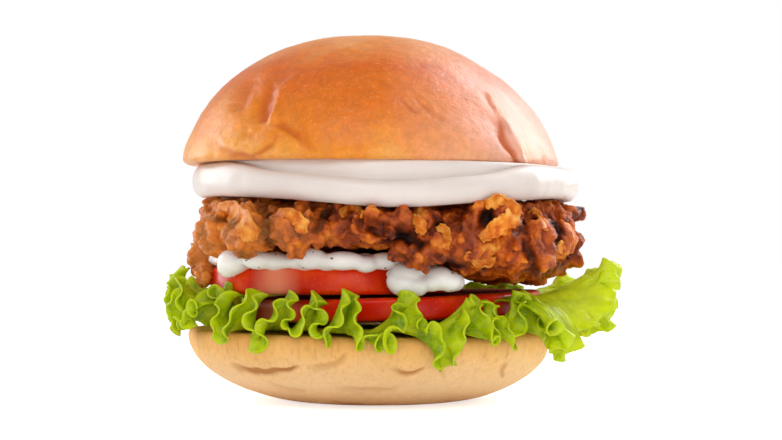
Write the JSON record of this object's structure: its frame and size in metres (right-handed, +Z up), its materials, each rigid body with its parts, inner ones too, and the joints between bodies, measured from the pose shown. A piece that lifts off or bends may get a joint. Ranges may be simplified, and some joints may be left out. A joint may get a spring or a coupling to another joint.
{
  "type": "chicken burger",
  "caption": "Chicken burger: a domed bun over mayonnaise, craggy fried chicken, herb sauce, tomato slices and curly lettuce on a heel.",
  "frame": {"origin": "the middle of the heel's small flat base, at the height where the burger rests", "axes": "+Z up, -Y towards the front of the burger where the tomato shows most, +X to the right, where the largest lettuce leaf stands out"},
  "size_m": [0.1272, 0.1151, 0.1014],
  "materials": {
    "glazed_crust": "satin golden glazed bun crust",
    "pale_crust": "matte pale bun crust",
    "fried_batter": "craggy fried batter with a thin film of oil",
    "mayonnaise": "smooth satin cream white",
    "herb_sauce": "wet off-white with dark green flecks",
    "tomato": "wet glossy red skin",
    "lettuce": "satin yellow-green leaf"
  },
  "bodies": {
    "root": {"bun_crown": "glazed_crust", "bun_heel": "pale_crust", "chicken_fillet": "fried_batter", "herb_sauce_dollop": "herb_sauce", "herb_sauce_layer": "herb_sauce", "lettuce_leaf_back": "lettuce", "lettuce_leaf_front": "lettuce", "lettuce_leaf_left": "lettuce", "lettuce_leaf_right": "lettuce", "mayonnaise_layer": "mayonnaise", "tomato_slice_lower": "tomato", "tomato_slice_upper": "tomato"}
  },
  "joints": []
}
